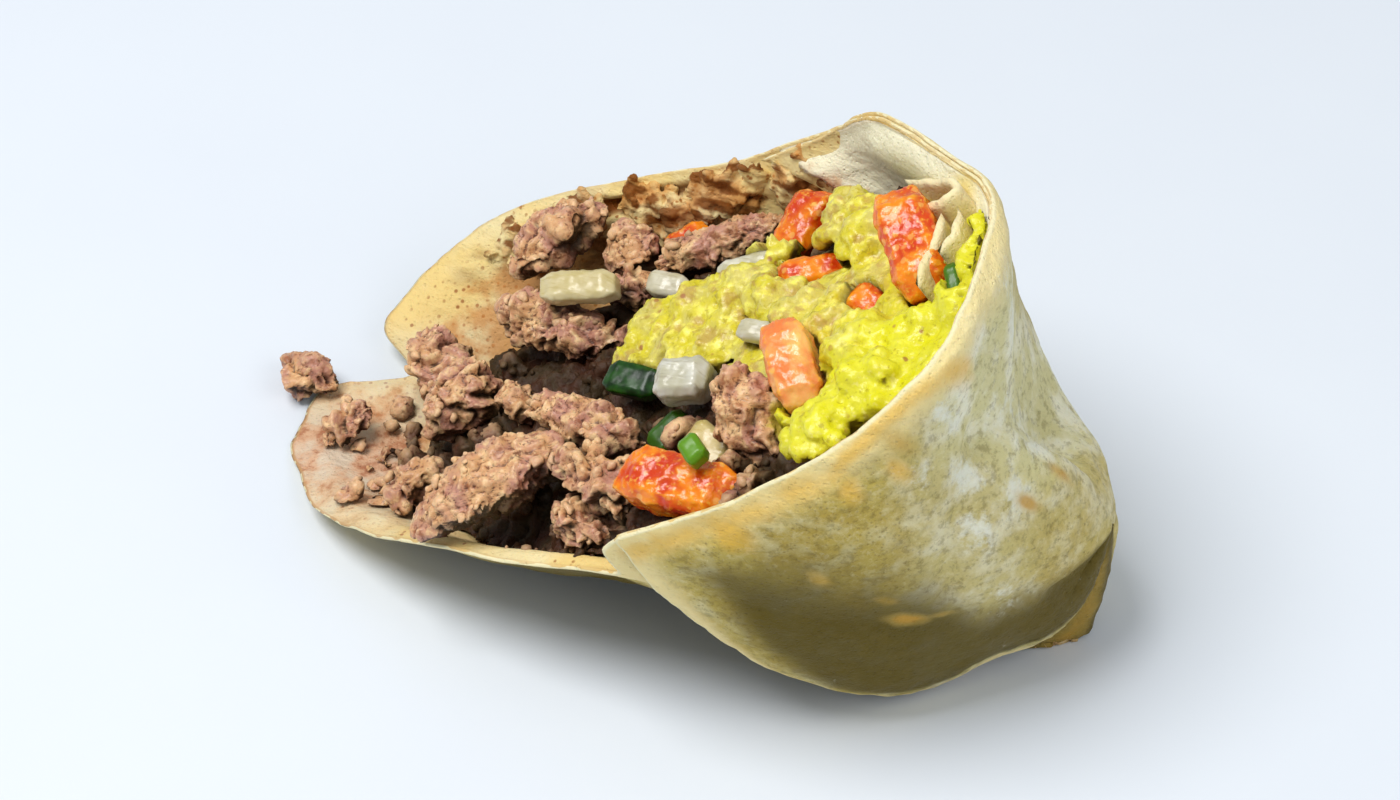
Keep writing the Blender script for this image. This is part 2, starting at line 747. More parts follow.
WET = (
    (48, 32.5, 6.0, 3.5, 1.1),
    (60, 37.0, 5.0, 4.0, 1.0),
)
STAINS = (
    (168, 23.0, 3.2, 3.4, 1.1),
    (165, 17.5, 2.2, 3.0, 0.9),
    (161, 22.0, 2.0, 3.5, 0.8),
    (150, 37.0, 2.5, 2.2, 0.8),
    (142, 42.0, 1.8, 1.8, 0.8),
    (172, 34.0, 1.6, 2.2, 0.6),
    (176, 41.0, 1.8, 1.6, 0.6),
)
FLOUR = (
    (88, 47.0, 8.0, 2.0, 0.8),
    (110, 49.5, 6.0, 1.6, 0.7),
    (138, 48.0, 3.0, 2.2, 0.9),
    (150, 50.0, 4.5, 1.6, 0.9),
    (178, 52.7, 5.0, 1.8, 0.6),
    (116, 52.5, 5.0, 1.8, 0.8),
    (128, 45.4, 2.5, 1.5, 0.8),
    (142, 44.3, 3.0, 2.0, 0.6),
    (135, 52.7, 5.5, 2.0, 0.9),
    (187, 53.0, 4.0, 2.5, 0.5),
    (95, 52.0, 5.0, 2.0, 0.6),
    (60, 50.0, 7.0, 3.0, 0.5),
    (20, 40.0, 6.0, 5.0, 0.5),
    (320, 45.0, 8.0, 4.0, 0.5),
)


def near_line(angle, x, line):
    """1 on a line over the skin, falling to 0 over its width and at its ends."""
    a0, x0, a1, x1, _, width = line
    per_degree = ROLL_RADIUS * math.pi / 180.0
    du, dx = (a1 - a0) * per_degree, x1 - x0
    length = math.hypot(du, dx)
    u, v = (angle - a0) * per_degree, x - x0
    along = (u * du + v * dx) / length
    off = np.abs(u * dx - v * du) / length
    past = np.maximum(0.0, np.maximum(-along, along - length))
    return np.exp(-((off / width) ** 2) - (past / (2.0 * width)) ** 2)


def near_spots(angle, x, spots):
    """The strongest of these soft spots at each point."""
    per_degree = ROLL_RADIUS * math.pi / 180.0
    found = np.zeros_like(x)
    for centre, at, wide, long, strength in spots:
        off = ((angle - centre + 180.0) % 360.0 - 180.0) * per_degree / wide
        found = np.maximum(found, strength * np.exp(-(off**2) - ((x - at) / long) ** 2))
    return found


def sheet_lines(angles, edge_of, fractions):
    """Points of the roll's outside and their distances from the edge, a line for each angle."""
    points, away = [], []
    for angle in angles:
        line = side_line(angle, 0.0, 0.0)
        edge = edge_of(angle, line[:, 1], line[:, 2])
        row, distance = from_edge(line, edge, fractions)
        points.append(row)
        away.append(distance)
    return np.array(points), np.array(away)


def raggedness(angle, seed):
    """Small tears and waves in an edge, in millimetres."""
    turn = math.radians(angle)
    at = Vector((2.0 * math.cos(turn), 2.0 * math.sin(turn), seed))
    return 0.7 * noise.noise(at * 2.2) + 0.35 * noise.noise(at * 7.0)


def outward_shift(points, height):
    """Moves a surface out along its own normals."""
    across = np.gradient(points, axis=0)
    along = np.gradient(points, axis=1)
    normal = np.cross(across, along)
    normal /= np.linalg.norm(normal, axis=2, keepdims=True) + 1e-9
    out = points - np.array((0.0, 0.0, AXIS_HEIGHT))
    out[..., 0] = 0.0
    if (normal * out).sum() < 0:
        normal = -normal
    normal[:, -1] = (1.0, 0.0, 0.0)
    return points + normal * height[..., None]


def thinned(away):
    """How much of its thickness the tortilla keeps, being drawn out thin at its edge."""
    return 0.38 + 0.62 * rise(away / 6.0)


def round_edge(away, radius):
    """0 at an edge, and 1 from this distance on, in a half round."""
    t = np.clip(away / radius, 0.0, 1.0)
    return np.sqrt(np.clip(1.0 - (1.0 - t) ** 2, 0.0, 1.0))


MARKS = ("from_rim", "pale", "low", "toast", "flour", "stain", "lip", "smear", "pit", "wet")


def skin_marks(angle, x, away):
    stain = near_line(angle, x, (181, 10.5, 149, 34.5, 0, 2.2))
    stain = np.maximum(stain, near_line(angle, x, (149, 34.5, 118, 46.0, 0, 1.2)))
    stain = np.maximum(0.8 * stain, near_spots(angle, x, STAINS))
    late = 148.0 + 18.0 * rise((x - 44.0) / 8.0)
    return {
        "from_rim": away,
        "pale": rise((x - 40.0) / 6.0)
        * (1.0 - 0.65 * rise((x - 53.0) / 5.0))
        * (1.0 - 0.55 * rise((angle - 122.0) / 28.0)),
        "low": rise((angle - late) / 44.0) * rise((300.0 - angle) / 30.0) * rise((away - 5.0) / 13.0),
        "toast": near_spots(angle, x, TOAST),
        "flour": near_spots(angle, x, FLOUR),
        "stain": stain,
        "lip": hump(angle, 258, 30) * rise((24.0 - away) / 8.0),
        "smear": rise((away - 2.0) / 10.0) * 0.75 * hump(angle, -38, 36) + 0.5 * hump(angle, 262, 30),
        "pit": np.zeros_like(x),
        "wet": near_spots(angle, x, WET),
    }


def make_inner_ply():
    """The ply that goes all round the filling. Its edge is the ragged rim and the lip."""
    columns = 330
    angles = np.linspace(-90.0, 270.0, columns + 1)
    fractions = np.linspace(0.0, 1.0, 148) ** 1.12

    def edge_of(angle, y, z):
        at, width, far = SET_BACK
        x = rim_x(angle, y, z) + raggedness(angle, 4.0) + 0.25 * ply_cover(angle % 360.0)
        if angle <= SEAM_START:
            return x
        return np.minimum(x + far * hump(angle, at, width), seam_x(angle) + 3.0)

    points, away = sheet_lines(angles, edge_of, fractions)
    angle = np.broadcast_to((angles % 360.0)[:, None], away.shape)
    x = points[..., 0]
    height = surface_relief(points, angle, x, away)
    for fold in FOLDS:
        height = height + fold[4] * near_line(angle, x, fold)
    lip = hump(angle, 258, 30) * np.exp(-((away / 9.0) ** 2))
    height = height + lip * 0.8 * field(points, 6.0, 9.0, 2)
    height = height * rise((1.0 - fractions) / 0.05)[None, :]
    inset = (OUTER_PLY * np.vectorize(ply_cover)(angle) + INNER_PLY / 2) * thinned(away)
    middle = outward_shift(points, height - inset)
    middle[..., 2] = np.maximum(middle[..., 2], INNER_PLY / 2 + 0.05)
    half = INNER_PLY / 2 * round_edge(away, 0.5) * thinned(away)
    half = half * (1.0 - 0.45 * hump(angle, 255, 35) * np.exp(-((away / 6.0) ** 2)))
    middle[0], half[0] = middle[-1], half[-1]
    obj = shell("tortilla_inner_ply", middle, half, True, skin_marks(angle, x, away))
    carve_back_wall(obj)
    return obj, middle


def carve_back_wall(obj):
    """Tears the inner face of the back wall: spongy pits and thin places near the rim."""
    points = points_of(obj)
    normals = normals_of(obj)
    values = {}
    for name in ("side", "from_rim", "pit"):
        values[name] = np.empty(len(points), np.float32)
        obj.data.attributes[name].data.foreach_get("value", values[name])
    angle = np.degrees(np.arctan2(points[:, 2] - AXIS_HEIGHT, points[:, 1]))
    where = hump(angle, -18, 22) * rise((values["from_rim"] - 2.5) / 3.0)
    where = where * rise((14.0 - angle) / 12.0) * (values["side"] < 0)
    stretched = points * np.array((0.45, 1.0, 1.0))
    holes = rise((field(stretched, 4.0, 5.0, 3) - 0.02) / 0.3) * where
    puffed = field(stretched, 3.0, 2.0, 3) * where
    put_points(obj, points + normals * (0.9 * puffed - 1.1 * holes)[:, None])
    obj.data.attributes["pit"].data.foreach_set("value", holes.astype(np.float32))


def make_outer_ply():
    """The ply wrapped over the front and the top, with its free edge running under the belly."""
    angles = np.linspace(PLY_BACK_ANGLE, PLY_END_ANGLE, 236)
    fractions = np.linspace(0.0, 1.0, 138) ** 1.12

    def edge_of(angle, y, z):
        if angle > SEAM_START:
            return np.full_like(y, seam_x(angle)) + 0.6 * raggedness(angle, 6.0)
        return rim_x(angle, y, z) + raggedness(angle, 4.0)

    points, away = sheet_lines(angles, edge_of, fractions)
    angle = np.broadcast_to(angles[:, None], away.shape)
    x = points[..., 0]
    height = surface_relief(points, angle, x, away)
    for fold in FOLDS:
        height = height + fold[4] * near_line(angle, x, fold)
    height = height * rise((1.0 - fractions) / 0.05)[None, :]
    sunk = 1.6 * (1.0 - rise((angle - PLY_BACK_ANGLE) / 26.0))
    middle = outward_shift(points, height - sunk - OUTER_PLY / 2 * thinned(away))
    middle[..., 2] = np.maximum(middle[..., 2], OUTER_PLY / 2 + 0.05)
    half = OUTER_PLY / 2 * round_edge(away, 0.4) * thinned(away)
    side = (PLY_END_ANGLE - angle) * ROLL_RADIUS * math.pi / 180.0
    start = (angle - PLY_BACK_ANGLE) * ROLL_RADIUS * math.pi / 180.0
    half = half * round_edge(side, 0.6) * round_edge(start, 0.6)
    return shell("tortilla_outer_ply", middle, half, False, skin_marks(angle, x, away))


def make_torn_layer():
    """The loose inside skin of the raised flap, torn off along one side and lifted there."""
    angles = np.linspace(13.0, 80.0, 64)
    fractions = np.linspace(0.002, 0.3, 40)

    def edge_of(angle, y, z):
        return rim_x(angle, y, z) + raggedness(angle, 4.0) + 0.3

    points, away = sheet_lines(angles, edge_of, fractions)
    angle = np.broadcast_to(angles[:, None], away.shape)
    side = (angle - angles[0]) * ROLL_RADIUS * math.pi / 180.0
    along = np.gradient(points, axis=0)
    along /= np.linalg.norm(along, axis=2, keepdims=True)
    tears = 1.6 * field(points[0], 5.0, 4.0, 3) + 0.25 * away[0]
    points = points + along * (tears[None, :] * np.exp(-side / 6.0))[..., None]
    height = surface_relief(points, angle, points[..., 0], away)
    curled = np.exp(-((side / 4.0) ** 2)) * rise((away - 1.0) / 5.0)
    inset = (OUTER_PLY * np.vectorize(ply_cover)(angle) + INNER_PLY) * thinned(away) + 0.2
    middle = outward_shift(points, height - inset - 2.0 * curled)
    half = 0.35 * round_edge(side, 0.5) * rise(away / 4.0)
    half = half * round_edge(side[-1:, :] - side, 0.5) * round_edge(away[:, -1:] - away, 0.5)
    marks = skin_marks(angle, points[..., 0], away)
    marks["smear"] = 0.6 * curled
    marks["pale"] = np.ones_like(away)
    return shell("tortilla_torn_layer", middle, half, False, marks)


DRAWN_OUT = np.array((0.4, 1.0, 1.0))


def make_torn_crumb():
    """The spongy crumb of the tortilla, torn open on the inside of the back wall."""
    draw = random.Random(SEED + 4)
    places = []
    while len(places) < 260:
        angle, away = draw.uniform(-36.0, 15.0), 3.0 + 11.0 * draw.random()
        line = side_line(angle, INNER_PLY + 0.1, INNER_PLY)
        edge = rim_x(angle, line[:, 1], line[:, 2])
        fraction = away / (END_TIP[0] - float(edge[0]))
        at = Vector(from_edge(line, edge, np.array([fraction]))[0][0])
        if noise.noise(Vector((at.x * 0.5, at.y, at.z)) / 3.2) < -0.06:
            continue
        size = draw.uniform(0.5, 1.2)
        inward = draw.uniform(-0.4, 0.3) * (1.0 + away / 5.0)
        at -= Vector((0.0, at.y, at.z - AXIS_HEIGHT)).normalized() * inward
        flat = Matrix.Diagonal((3.2 * size, 1.1 * size, 0.5 * size, 1.0))
        lie = Vector((0.0, at.y, at.z - AXIS_HEIGHT)).to_track_quat("Z", "X").to_matrix().to_4x4()
        tip = Matrix.Rotation(draw.uniform(-0.35, 0.35), 4, "Y")
        spin = Matrix.Rotation(draw.uniform(-0.5, 0.5), 4, "Z")
        place = Matrix.Translation(at) @ lie @ tip @ spin @ flat
        places.append((draw.randrange(len(GRAINS)), place))
    obj = joined("tortilla_crumb", GRAINS, places)
    fuse(obj, 0.3)
    roughen(obj, lambda p: 0.45 * field(p * DRAWN_OUT, 1.5, 2.0))
    smooth(obj)
    return obj


# ---------------------------------------------------------------- the filling


def turned(seed):
    """A random rotation."""
    draw = random.Random(seed)
    euler = [draw.uniform(0.0, 2.0 * math.pi) for _ in range(3)]
    return Matrix.Rotation(euler[0], 4, "X") @ Matrix.Rotation(euler[1], 4, "Y") @ (
        Matrix.Rotation(euler[2], 4, "Z")
    )


GRAINS = [template(1.0, 3.7 * i, 2) for i in range(5)]


def grains_on(obj, spacing, smallest, largest, seed, sink=0.4):
    """Lumpy grains scattered over a piece's skin, a few degrees sunk in it."""
    draw = random.Random(seed)
    points = points_of(obj)
    places = []
    for face in obj.data.polygons:
        area = face.area / MM**2
        expected = area / spacing**2
        many = int(expected) + (draw.random() < expected % 1.0)
        for _ in range(many):
            a, b, c = (points[i] for i in face.vertices[:3])
            s, t = draw.random(), draw.random()
            if s + t > 1.0:
                s, t = 1.0 - s, 1.0 - t
            at = a + s * (b - a) + t * (c - a)
            size = draw.uniform(smallest, largest)
            at = Vector(at) - face.normal * size * sink
            stretch = Matrix.Diagonal((size, size * draw.uniform(0.6, 1.0), size * 0.8, 1.0))
            place = Matrix.Translation(at) @ turned(draw.random()) @ stretch
            places.append((draw.randrange(len(GRAINS)), place))
    return joined("grains", GRAINS, places)


def join(first, *others):
    select_only(first, *others)
    bpy.ops.object.join()
    return first


def knobs(points, size, seed=0.0):
    """Round knobs with sharp creases between them, 0 in a crease."""
    return np.abs(field(points, size, seed, 2)) * 2.0


def warped(points, size, far, seed):
    """The points moved about by smooth noise, so that what is laid on them doesn't look even."""
    shifts = [field(points, size, seed + 11.0 * k, 2) for k in range(3)]
    return points + far * np.stack(shifts, axis=-1)


def roughen(obj, *layers):
    """Moves a piece's skin along its normals by the sum of the layers."""
    points = points_of(obj)
    put_points(obj, points + normals_of(obj) * sum(layer(points) for layer in layers)[:, None])


def torn(coarse, seed):
    """The skin of stewed beef: torn lumps with creases between them, and finer crumbs on them."""

    grain = np.array(turned(seed).to_3x3()) * np.array((0.42, 1.0, 1.0))

    def height(points):
        bent = warped(points, 3.0, 1.6, seed)
        drawn_out = bent @ grain
        crumbly = rise(field(points, 6.0, seed + 2.0, 1) + 0.4)
        lumps = 1.5 * coarse * (knobs(drawn_out, 4.6, seed) - 0.5)
        crumbs = (0.2 + 0.55 * crumbly) * (knobs(drawn_out, 1.7, seed + 4.0) - 0.4)
        return lumps + crumbs + (0.12 + 0.2 * crumbly) * (knobs(bent, 0.9, seed + 5.0) - 0.4)

    return height


COARSE = {1: 0.45, 3: 0.8, 7: 0.45}


def make_beef(node, seed):
    """A torn piece of beef: the node's body with a few lumps fused on to it, and roughened."""
    obj = copy_of(node, node.replace("beef", "beef_piece"))
    join(obj, grains_on(obj, 4.0, 0.7, 1.5, seed, 0.7))
    fuse(obj, 0.27)
    roughen(obj, torn(COARSE.get(seed + 1, 1.0), seed * 3.1))
    smooth(obj)
    return obj


BED_LUMPS = 190
LIP_LUMPS = 64
LIP_RADIUS = 34.0
HOLLOWS = (
    # along, across, radius, depth of the dark hollows between the pieces
    (-19, 2.5, 5.5, 4.0),
    (-17.5, -24, 4.5, 3.0),
    (-1.5, -6, 4.0, 4.0),
    (-13.9, -2.4, 3.6, 4.0),
    (-34, 25, 7.0, 3.0),
    (-9, -18, 4.0, 3.0),
    (-38, -8, 4.0, 2.0),
    (50, -2, 4.0, 4.0),
)


def in_hollow(along, across):
    """1 in the middle of a hollow, times its depth."""
    found = 0.0
    for at, aside, radius, depth in HOLLOWS:
        off = ((along - at) ** 2 + (across - aside) ** 2) / radius**2
        found = np.maximum(found, depth * np.exp(-off))
    return found


def sink_hollows(obj):
    points = points_of(obj)
    along, across, above = to_cut(points)
    down = in_hollow(along, across) * rise((above + 22.0) / 10.0)
    put_points(obj, points - down[:, None] * np.array(CUT_NORMAL))


def in_guacamole(along, across):
    """True where the top of the filling is guacamole and not meat."""
    return -8.0 < along and -0.62 * (along + 4.0) - 2.0 < across < 9.0 + 0.25 * along and (
        across < 17.0 or along > 14.0
    ) and across > -30.0


def make_meat_bed():
    """The meat through the roll, its top heaped with torn lumps, down to dark hollows."""
    draw = random.Random(SEED)
    obj = copy_of("meat_filling", "meat_bed")
    places = []
    while len(places) < BED_LUMPS:
        y, z = draw.uniform(-30.5, 30.5), draw.uniform(5.0, 67.0)
        if math.hypot(y, z - AXIS_HEIGHT) > 30.5:
            continue
        at = Vector((float(filling_top(y, z)), y, z))
        along, across, above = to_cut(np.array(at))
        size = draw.uniform(1.4, 3.8)
        if in_guacamole(along, across) or in_hollow(along, across) > 1.2:
            continue
        at += CUT_NORMAL * draw.uniform(-4.5, 0.3)
        stretch = Matrix.Diagonal((size * 1.35, size * 0.8, size * 0.75, 1.0))
        place = Matrix.Translation(at) @ turned(draw.random()) @ stretch
        places.append((draw.randrange(len(GRAINS)), place))
    while len(places) < BED_LUMPS + LIP_LUMPS:
        x, y = draw.uniform(-48.0, -30.0), draw.uniform(-20.0, 11.0)
        if draw.random() > rise((x + 51.0 - 0.4 * abs(y + 6.0)) / 13.0):
            continue
        size = draw.uniform(0.6, 1.6)
        at = Vector((x, y, AXIS_HEIGHT - math.sqrt(LIP_RADIUS**2 - y * y) + 0.3 * size))
        stretch = Matrix.Diagonal((size * 1.3, size, size * 0.8, 1.0))
        place = Matrix.Translation(at) @ turned(draw.random()) @ stretch
        places.append((draw.randrange(len(GRAINS)), place))
    join(obj, joined("lumps", GRAINS, places))
    fuse(obj, 0.5)
    sink_hollows(obj)
    roughen(obj, torn(1.0, 0.0))
    smooth(obj)
    return obj


BLOBS = (
    # along, across, above, radius
    (-4, 6, -2.5, 4.2),
    (3, 8, -2.5, 4.6),
    (10, 8, -2.2, 4.6),
    (17, 7, -2.8, 4.6),
    (24, 0, -3.2, 5.2),
    (31, -2, -3.2, 5.0),
    (38, -9, -2.2, 5.5),
    (42, -17, -1.8, 5.5),
    (37, -23, -2.0, 4.6),
    (26, 18, -2.6, 4.5),
    (31, 13, -2.6, 4.0),
    (54.0, 0.5, -1.6, 4.4),
    (52.0, 6, -2.0, 3.6),
    (52.5, -6, -2.0, 3.8),
    (47, -9, -3.0, 4.2),
    (2.5, 1.5, -3.2, 4.0),
    (8, -1.5, -4.0, 3.6),
    (-2, 0.5, -3.6, 3.0),
    (8.7, 3.2, -3.2, 3.4),
    (12, 15, -3.4, 3.4),
    (-7, 2, -4.0, 3.0),
)


def creamy(points):
    """The soft lumpy skin of guacamole."""
    return 0.7 * field(points, 3.4, 4.0, 2) + 0.35 * (knobs(points, 1.4, 6.0) - 0.45)


def make_guacamole():
    """The guacamole: its column through the roll, with soft blobs and curds on top."""
    draw = random.Random(SEED + 1)
    obj = copy_of("guacamole", "guacamole_heap")
    places = []
    for along, across, above, radius in BLOBS:
        centre = from_cut(along, across, above)
        shape = Matrix.Diagonal((radius, radius, radius * 0.6, 1.0))
        basis = Matrix((CUT_LONG, CUT_ACROSS, CUT_NORMAL)).transposed().to_4x4()
        places.append((0, Matrix.Translation(centre) @ basis @ shape))
        for _ in range(26):
            angle, off = draw.uniform(0.0, 2.0 * math.pi), radius * draw.random() ** 0.5
            size = draw.uniform(0.7, 1.7)
            high = radius * 0.6 * math.sqrt(max(0.0, 1.0 - (off / radius) ** 2)) - 0.3 * size
            bit = from_cut(
                along + off * math.cos(angle), across + off * math.sin(angle), above + high
            )
            shape = Matrix.Scale(size, 4)
            places.append(
                (draw.randrange(len(GRAINS)), Matrix.Translation(bit) @ turned(draw.random()) @ shape)
            )
    join(obj, joined("curds", GRAINS, places))
    fuse(obj, 0.5)
    roughen(obj, creamy)
    modify(obj, "SMOOTH", factor=0.5, iterations=1)
    smooth(obj)
    return obj


def uncover(obj, pieces, margin=0.5):
    """Lowers what lies over a piece to just under its skin, so that the piece shows."""
    tree = tree_of(*pieces)
    points = points_of(obj)
    above = to_cut(points)[2]
    for i in np.nonzero(above > -12.0)[0]:
        hit, _, _, _ = tree.ray_cast(Vector(points[i]) + PIECE_FACE * 0.05, -PIECE_FACE, 7.0)
        if hit is not None:
            points[i] = hit - PIECE_FACE * margin
    put_points(obj, points)


def keep_inside(obj, middle, gap=1.3, past_rim=False):
    """Presses back under the inner ply whatever reaches into it, and past its rim if asked."""
    columns, rows = middle.shape[:2]
    corners = [c * rows + r for c in range(columns - 1) for r in range(rows - 1)]
    faces = [(i, i + rows, i + rows + 1, i + 1) for i in corners]
    tree = BVHTree.FromPolygons(middle.reshape(-1, 3).tolist(), faces)
    top = Vector((0.0, 0.0, 2.5 * AXIS_HEIGHT))
    outwards = math.copysign(1.0, tree.find_nearest(top)[1].z)
    points = points_of(obj)
    for i, point in enumerate(points):
        point = Vector(point)
        spot, normal, _, distance = tree.find_nearest(point, 9.0)
        if spot is None:
            continue
        normal = normal * outwards
        off = (point - spot).dot(normal)
        if off > -gap and distance < abs(off) + 0.3:
            points[i] = spot - normal * gap
        elif past_rim and distance >= abs(off) + 0.3:
            reach = math.hypot(spot.y, spot.z - AXIS_HEIGHT) - gap
            out = math.hypot(point.y, point.z - AXIS_HEIGHT)
            if out > reach:
                points[i, 1:] *= reach / out
                points[i, 2] += AXIS_HEIGHT * (1.0 - reach / out)
    put_points(obj, points)


def make_diced(node, name, voxel, seed, soft=0.2):
    """A diced piece of vegetable: the node's block with soft corners and an uneven cut."""
    obj = copy_of(node, name)
    fuse(obj, voxel)
    modify(obj, "SMOOTH", factor=0.5, iterations=1)
    roughen(obj, lambda p: 2.0 * soft * field(p, 4.5, seed, 2) + soft * field(p, 1.1, seed))
    smooth(obj)
    return obj


def make_crumbs(tree):
    """Loose crumbs of meat on the filling, on the lip and on the pieces."""
    draw = random.Random(SEED + 2)
    places = []
    while len(places) < 430:
        along, across = draw.uniform(-58.0, 50.0), draw.uniform(-31.0, 31.0)
        if in_guacamole(along, across) and draw.random() < 0.8:
            continue
        start = from_cut(along, across, 12.0)
        hit, normal, _, _ = tree.ray_cast(start, -CUT_NORMAL, 26.0)
        if hit is None or math.hypot(hit.y, hit.z - AXIS_HEIGHT) > 33.0:
            continue
        size = 0.3 + 0.65 * draw.random() ** 2
        stretch = Matrix.Diagonal((size * 1.3, size, size * 0.8, 1.0))
        place = Matrix.Translation(hit) @ turned(draw.random()) @ stretch
        places.append((draw.randrange(len(GRAINS)), place))
    obj = joined("meat_crumbs", GRAINS, places)
    smooth(obj)
    return obj


FOLD_PATHS = (
    # along and across the cut: the hairpin, then the leaves that stand beside it
    ((40.5, 15.0), (45.5, 13.9), (49.6, 12.3), (50.8, 10.4), (49.2, 8.8), (45.0, 9.5), (40.5, 11.2)),
    ((48.2, 8.0), (49.2, 4.5), (48.0, 0.5), (48.6, -4.5)),
    ((50.8, 8.2), (51.4, 4.4), (50.4, 0.6)),
)
FOLD_TOPS = (3.4, 2.2, 2.0)
FOLD_DEPTH = 9.0


def rounded(path, turns=4):
    """The path with its corners cut off again and again, which leaves a smooth curve."""
    path = np.array(path)
    for _ in range(turns):
        near = path[:-1] * 0.75 + path[1:] * 0.25
        far = path[:-1] * 0.25 + path[1:] * 0.75
        inner = np.stack((near, far), axis=1).reshape(-1, 2)
        path = np.concatenate((path[:1], inner[1:-1], path[-1:]))
    return path


def make_fold():
    """The tucked-in end of the tortilla, cut through: thin sheets that stand in the filling."""
    leaves = []
    for path, highest in zip(FOLD_PATHS, FOLD_TOPS):
        line = rounded(path)
        count = len(line)
        depths = np.linspace(0.0, FOLD_DEPTH, 16)
        wave = field(np.pad(line, ((0, 0), (0, 1))), 3.0, 2.0, 2)
        middle = np.empty((count, len(depths), 3))
        for i, (along, across) in enumerate(line.tolist()):
            for j, depth in enumerate(depths.tolist()):
                bend = float(wave[i])
                lean = 0.12 * depth * (1.0 + bend)
                top = highest + 0.6 * bend - depth
                middle[i, j] = from_cut(along - lean, across + 0.5 * lean, top)
        ends = np.minimum(np.arange(count), np.arange(count)[::-1])[:, None] / 4.0
        half = 0.55 * round_edge(depths[None, :], 0.4) * round_edge(ends, 1.0)
        half = half * np.ones_like(middle[..., 0])
        leaves.append(shell("folded_tortilla", middle, half, False, {}))
    return join(*leaves)


# ---------------------------------------------------------------- the whole


def settle(obj, nodes, material):
    """Gives a piece its finish, its place in the frame and the nodes that it stands for."""
    obj.data.materials.clear()
    obj.data.materials.append(material)
    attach(obj, "root")
    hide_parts(*nodes)


def open_rays():
    """Directions spread about the one that the cut faces."""
    rays = [CUT_NORMAL]
    for i in range(8):
        turn = math.pi * i / 4.0
        aside = math.cos(turn) * CUT_LONG + math.sin(turn) * CUT_ACROSS
        rays.append((CUT_NORMAL + aside * (0.6 if i % 2 else 1.1)).normalized())
    return rays


OPEN_RAYS = open_rays()


def deepness(obj, tree, start=-6.5, fade=6.0, reach=9.0):
    """1 where a point is hemmed in by its neighbours, where juice and shade darken it."""
    points = points_of(obj)
    normals = normals_of(obj)
    above = to_cut(points)[2]
    facing = normals @ np.array(CUT_NORMAL)
    deep = rise((start - above) / fade)
    for i in np.nonzero((above > -15.0) & (facing > -0.35))[0]:
        origin = Vector(points[i]) + Vector(normals[i]) * 0.3
        shut = sum(tree.ray_cast(origin, ray, reach)[0] is not None for ray in OPEN_RAYS)
        deep[i] = max(deep[i], float(rise((shut / len(OPEN_RAYS) - 0.28) / 0.5)))
    deep[facing <= -0.35] = 1.0
    return deep


def smears(obj, tree, reach):
    """1 where a piece touches the guacamole."""
    found = []
    for p in points_of(obj):
        near = tree.find_nearest(Vector(p), reach)
        found.append(0.0 if near[0] is None else 1.0 - near[3] / reach)
    return found


beef_look = beef_finish()
tortilla_look = tortilla_finish()

inner_ply, wall_middle = make_inner_ply()
outer_ply = make_outer_ply()
torn_layer = make_torn_layer()
torn_crumb = make_torn_crumb()
keep_inside(torn_crumb, wall_middle, gap=0.3)
count = len(torn_crumb.data.vertices)
holes = 0.9 * rise((field(points_of(torn_crumb) * DRAWN_OUT, 2.2, 7.0) - 0.02) / 0.22)
for mark in MARKS:
    values = {"from_rim": 9.0, "pale": 0.0, "pit": holes, "smear": 0.55}.get(mark, 0.0)
    write(torn_crumb, mark, values + np.zeros(count))
write(torn_crumb, "side", np.full(count, -1.0))
for ply in (inner_ply, outer_ply, torn_layer, torn_crumb):
    settle(ply, ["tortilla"], tortilla_look)

beef = [make_beef(node, i) for i, node in enumerate(node_names("beef"))]
tomato = [make_diced(n, n.replace("tomato", "tomato_piece"), 0.3, i) for i, n in enumerate(node_names("tomato"))]
onion = [make_diced(n, n.replace("onion", "onion_piece"), 0.3, i, 0.1) for i, n in enumerate(node_names("onion"))]
pepper = [make_diced(n, n.replace("pepper", "chilli_piece"), 0.25, i, 0.05) for i, n in enumerate(node_names("pepper"))]
fold = make_fold()

meat_bed = make_meat_bed()
guacamole = make_guacamole()
uncover(guacamole, beef + tomato + onion + pepper + [fold])
uncover(meat_bed, beef + tomato + onion + pepper + [fold])
for obj in (meat_bed, *beef):
    keep_inside(obj, wall_middle)
keep_inside(guacamole, wall_middle, past_rim=True)
crumbs = make_crumbs(tree_of(meat_bed, inner_ply, *beef))

guacamole_tree = tree_of(guacamole)
whole_tree = tree_of(guacamole, meat_bed, inner_ply, *beef, *tomato, *onion, *pepper)
write(guacamole, "deep", deepness(guacamole, whole_tree))
for i, obj in enumerate(beef):
    write(obj, "deep", deepness(obj, whole_tree))
    write(obj, "smear", smears(obj, guacamole_tree, 1.6))
    settle(obj, [node_names("beef")[i]], beef_look)
for obj, slot, nodes in ((meat_bed, "meat", ["meat_filling"]), (crumbs, "meat", [])):
    write(obj, "deep", deepness(obj, whole_tree, start=-1.5, fade=4.5))
    write(obj, "smear", np.zeros(len(obj.data.vertices)))
    settle(obj, nodes, beef_look)

tomato_look = tomato_finish()
for i, obj in enumerate(tomato):
    normals = normals_of(obj)
    write(obj, "pale", np.full(len(normals), 1.0 if i == 4 else 0.0))
    write(obj, "skin", rise((normals @ np.array(CUT_ACROSS) - 0.5) / 0.3) * (i != 4))
    settle(obj, [node_names("tomato")[i]], tomato_look)
onion_look = onion_finish()
for i, obj in enumerate(onion):
    write(obj, "green", np.full(len(obj.data.vertices), (0.0, 0.1, 0.2, 0.5, 0.1, 0.7)[i]))
    settle(obj, [node_names("onion")[i]], onion_look)
pepper_look = pepper_finish()
for i, obj in enumerate(pepper):
    write(obj, "bright", np.full(len(obj.data.vertices), (0.0, 0.2, 0.8, 0.4)[i]))
    settle(obj, [node_names("pepper")[i]], pepper_look)

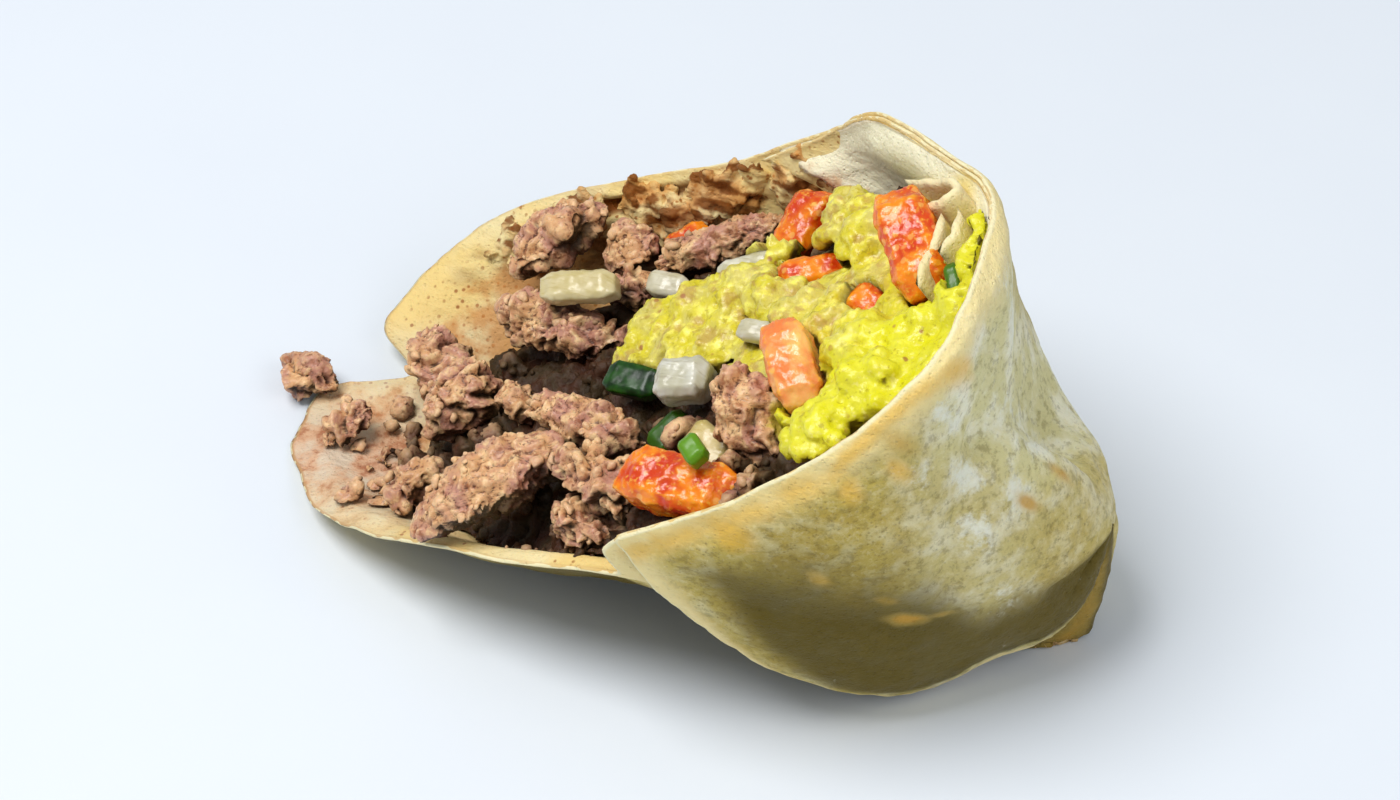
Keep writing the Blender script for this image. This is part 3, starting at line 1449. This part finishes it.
along, across, above = to_cut(points_of(guacamole))
write(guacamole, "bright", np.maximum(rise((along - 34.0) / 10.0), rise((-across - 8.0) / 8.0)))
settle(guacamole, ["guacamole"], guacamole_finish())
for mark in MARKS:
    write(fold, mark, np.full(len(fold.data.vertices), {"pale": 0.35, "from_rim": 9.0}.get(mark, 0.0)))
put = fold.data.attributes["side"].data
put.foreach_set("value", np.full(len(put), -1.0, np.float32))
settle(fold, ["tortilla_fold"], tortilla_look)

# ---------------------------------------------------------------- floor, light and camera

FLOOR_SIZE = 3.0
VIEW_AZIMUTH = 24.0
VIEW_ELEVATION = 44.0
VIEW_DISTANCE = 0.6
VIEW_CENTRE = (0.0065, -0.0065, 0.0349)
LENS = 116.0


def floor_finish():
    made = Finish("pale_table", Roughness=0.6)
    grain = made.noise(made.place(), 40.0)
    return made.finish(Base_Color=made.mix(grain, colour(225, 231, 239), colour(229, 235, 242)))


bpy.ops.object.select_all(action="DESELECT")
bpy.ops.mesh.primitive_plane_add(size=FLOOR_SIZE)
floor = bpy.context.active_object
floor.name = "floor"
floor.data.materials.append(floor_finish())


def softbox(name, place, size, watts, aim=(0.0, 0.0, 0.03)):
    bpy.ops.object.light_add(type="AREA", location=place)
    lamp = bpy.context.active_object
    lamp.name = name
    lamp.data.shape = "DISK"
    lamp.data.size = size
    lamp.data.energy = watts
    toward = Vector(aim) - Vector(place)
    lamp.rotation_euler = toward.to_track_quat("-Z", "Y").to_euler()
    return lamp


softbox("key_light", (-0.25, -0.22, 0.85), 0.5, 6.5)
softbox("fill_light", (0.7, -0.2, 0.65), 0.7, 2.2)

world = bpy.data.worlds.new("studio")
world.use_nodes = True
world.node_tree.nodes["Background"].inputs["Color"].default_value = (0.9, 0.95, 1.0, 1.0)
world.node_tree.nodes["Background"].inputs["Strength"].default_value = 0.36
bpy.context.scene.world = world
bpy.context.scene.view_settings.view_transform = "Standard"

azimuth, elevation = math.radians(VIEW_AZIMUTH), math.radians(VIEW_ELEVATION)
back = Vector(
    (
        math.sin(azimuth) * math.cos(elevation),
        -math.cos(azimuth) * math.cos(elevation),
        math.sin(elevation),
    )
)
bpy.ops.object.camera_add(location=Vector(VIEW_CENTRE) + VIEW_DISTANCE * back)
camera = bpy.context.active_object
camera.name = "camera"
camera.rotation_euler = (-back).to_track_quat("-Z", "Y").to_euler()
camera.data.lens = LENS
bpy.context.scene.camera = camera
